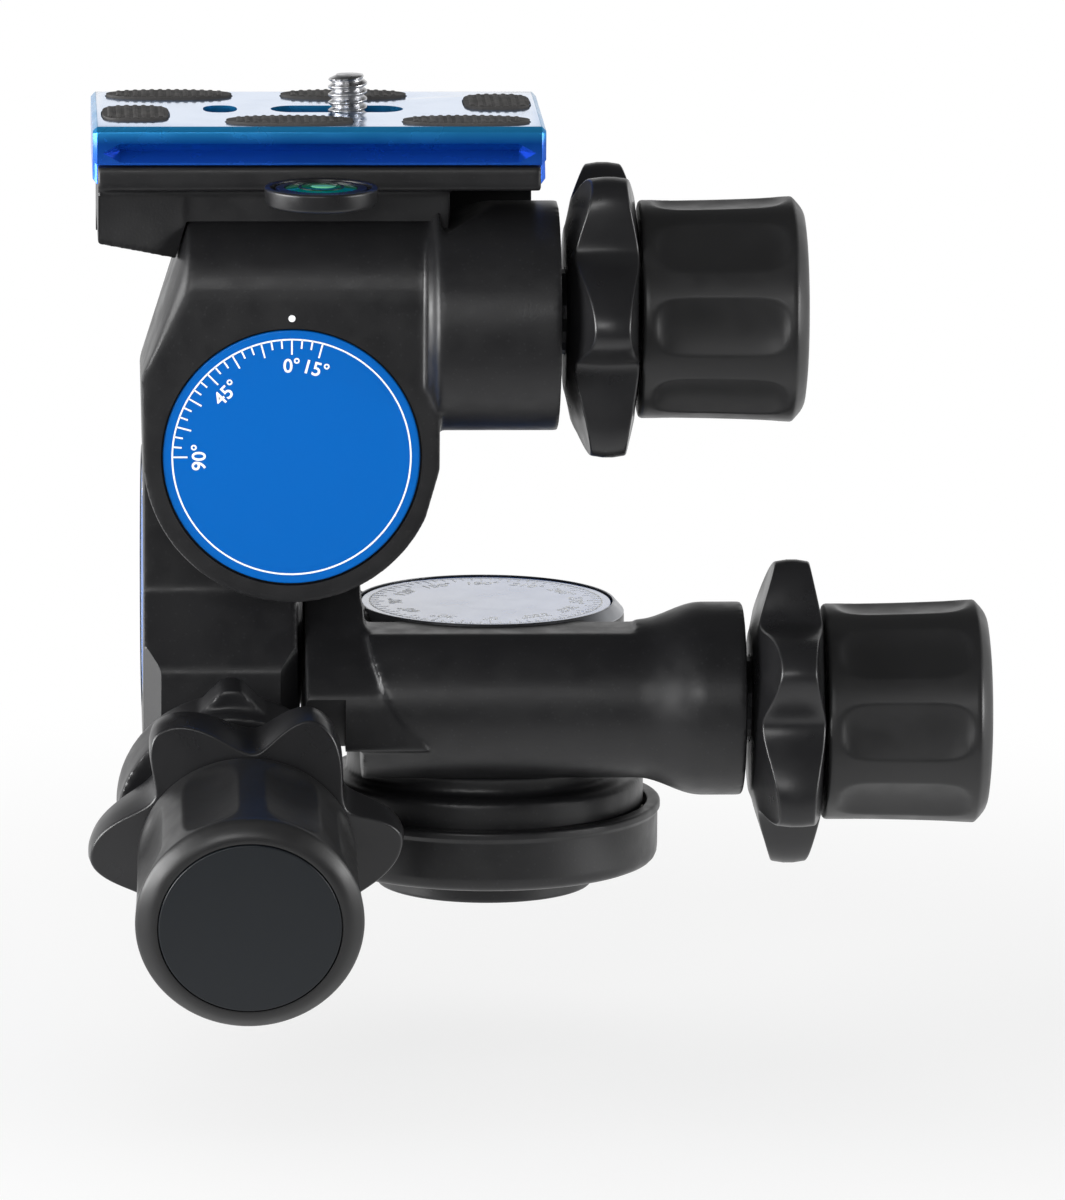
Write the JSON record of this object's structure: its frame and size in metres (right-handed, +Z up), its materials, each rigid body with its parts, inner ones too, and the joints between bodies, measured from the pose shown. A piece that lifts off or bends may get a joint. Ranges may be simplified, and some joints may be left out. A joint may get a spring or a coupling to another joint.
{
  "type": "geared tripod head",
  "caption": "Worm-geared tripod head with pan, tilt and roll knobs, release collars, degree dials and a quick-release clamp holding a blue camera plate.",
  "frame": {"origin": "on the pan axis at the underside of the foot, where the tripod's stud enters", "axes": "+Z up along the pan axis, +X towards the pan and roll knobs, -Y towards the tilt knob and the roll dial"},
  "size_m": [0.1445, 0.1119, 0.1428],
  "materials": {
    "cast_black": "black powder-coated aluminium casting with a fine texture",
    "grip_black": "satin black soft-touch plastic",
    "cap_black": "smooth satin blue-black plastic",
    "dial_blue": "glossy blue anodised disc with a white degree scale",
    "anodised_blue": "bright blue anodised aluminium",
    "steel": "turned steel",
    "brass": "cut bronze gear",
    "polymer": "white low-friction polymer",
    "pad_rubber": "ribbed black rubber",
    "level_green": "green spirit level under a clear window"
  },
  "bodies": {
    "base": {"base_housing": "cast_black", "thread_insert": "steel", "base_screw_1": "steel", "base_screw_2": "steel", "base_screw_3": "steel", "pan_spindle": "steel", "pan_worm_wheel": "brass", "pan_nut": "steel", "pan_dial": "dial_blue"},
    "pan_body": {"pan_housing": "cast_black", "pan_thrust_washer": "polymer", "tilt_axle": "steel", "tilt_worm_wheel": "brass", "tilt_nut": "steel", "tilt_dial": "dial_blue"},
    "tilt_body": {"tilt_arm": "cast_black", "tilt_thrust_washer": "polymer", "roll_axle": "steel", "roll_worm_wheel": "brass", "roll_nut": "steel", "roll_dial": "dial_blue"},
    "roll_body": {"roll_housing": "cast_black", "roll_thrust_washer": "polymer", "clamp_body": "cast_black", "jaw_guide_pin_1": "steel", "jaw_guide_pin_2": "steel", "level_cup": "cast_black", "level_vial": "level_green"},
    "pan_carrier": {"pan_worm_sleeve": "steel", "pan_release_collar": "cap_black", "pan_release_spring": "steel"},
    "pan_drive": {"pan_worm": "steel", "pan_knob": "grip_black", "pan_knob_cap": "cap_black"},
    "tilt_carrier": {"tilt_worm_sleeve": "steel", "tilt_release_collar": "cap_black", "tilt_release_spring": "steel"},
    "tilt_drive": {"tilt_worm": "steel", "tilt_knob": "grip_black", "tilt_knob_cap": "cap_black"},
    "roll_carrier": {"roll_worm_sleeve": "steel", "roll_release_collar": "cap_black", "roll_release_spring": "steel"},
    "roll_drive": {"roll_worm": "steel", "roll_knob": "grip_black", "roll_knob_cap": "cap_black"},
    "jaw": {"clamp_jaw": "cast_black"},
    "clamp_drive": {"clamp_screw": "steel", "clamp_knob": "grip_black"},
    "plate": {"camera_plate": "anodised_blue", "plate_pad_1": "pad_rubber", "plate_pad_2": "pad_rubber", "plate_pad_3": "pad_rubber", "plate_pad_4": "pad_rubber", "plate_pad_5": "pad_rubber", "plate_pad_6": "pad_rubber"},
    "plate_screw": {"camera_screw": "steel", "screw_ring": "steel"}
  },
  "joints": [
    {"name": "pan", "type": "hinge", "parent": "base", "child": "pan_body", "pos_m": [0, 0, 0.0323], "axis": [0, 0, 1], "continuous": true},
    {"name": "pan_release", "type": "hinge", "parent": "pan_body", "child": "pan_carrier", "pos_m": [0.042, -0.0212, 0.0345], "axis": [1, 0, 0], "range_deg": [-50, 0], "stiffness_Nm_per_rad": 0.05, "springref_deg": 5.73},
    {"name": "pan_knob_turn", "type": "hinge", "parent": "pan_carrier", "child": "pan_drive", "pos_m": [0.065, -0.0212, 0.0323], "axis": [1, 0, 0], "continuous": true},
    {"name": "tilt", "type": "hinge", "parent": "pan_body", "child": "tilt_body", "pos_m": [-0.0398, 0, 0.0501], "axis": [-1, 0, 0], "range_deg": [-15, 90]},
    {"name": "tilt_release", "type": "hinge", "parent": "tilt_body", "child": "tilt_carrier", "pos_m": [-0.042, 0.0047, 0.02943], "axis": [0, -0.9751, -0.2215], "range_deg": [-50, 0], "stiffness_Nm_per_rad": 0.05, "springref_deg": 5.73},
    {"name": "tilt_knob_turn", "type": "hinge", "parent": "tilt_carrier", "child": "tilt_drive", "pos_m": [-0.0398, 0.0047, 0.02943], "axis": [0, -0.9751, -0.2215], "range_deg": [-540, 3240]},
    {"name": "roll", "type": "hinge", "parent": "tilt_body", "child": "roll_body", "pos_m": [-0.0326, -0.0287, 0.0779], "axis": [0, 1, 0], "range_deg": [-90, 10]},
    {"name": "roll_release", "type": "hinge", "parent": "roll_body", "child": "roll_carrier", "pos_m": [0.01, -0.0309, 0.0991], "axis": [1, 0, 0], "range_deg": [0, 50], "stiffness_Nm_per_rad": 0.05, "springref_deg": -5.73},
    {"name": "roll_knob_turn", "type": "hinge", "parent": "roll_carrier", "child": "roll_drive", "pos_m": [0.035, -0.0287, 0.0991], "axis": [1, 0, 0], "range_deg": [-3240, 540]},
    {"name": "jaw_slide", "type": "slide", "parent": "roll_body", "child": "jaw", "axis": [0, 1, 0], "range_m": [0, 0.004]},
    {"name": "clamp_knob_turn", "type": "hinge", "parent": "jaw", "child": "clamp_drive", "pos_m": [-0.0283, -0.0044, 0.1145], "axis": [0, 1, 0], "range_deg": [0, 1801]},
    {"name": "plate_slide", "type": "slide", "parent": "roll_body", "child": "plate", "axis": [1, 0, 0], "range_m": [-0.02, 0.005]},
    {"name": "camera_screw_turn", "type": "hinge", "parent": "plate", "child": "plate_screw", "pos_m": [-0.0234, -0.0234, 0.125], "axis": [0, 0, 1], "continuous": true}
  ],
  "couplings": [
    {"joint": "pan_knob_turn", "follows": "pan", "ratio": 36},
    {"joint": "tilt_knob_turn", "follows": "tilt", "ratio": 36},
    {"joint": "roll_knob_turn", "follows": "roll", "ratio": 36},
    {"joint": "clamp_knob_turn", "follows": "jaw_slide", "rad_per_m": 7854}
  ]
}
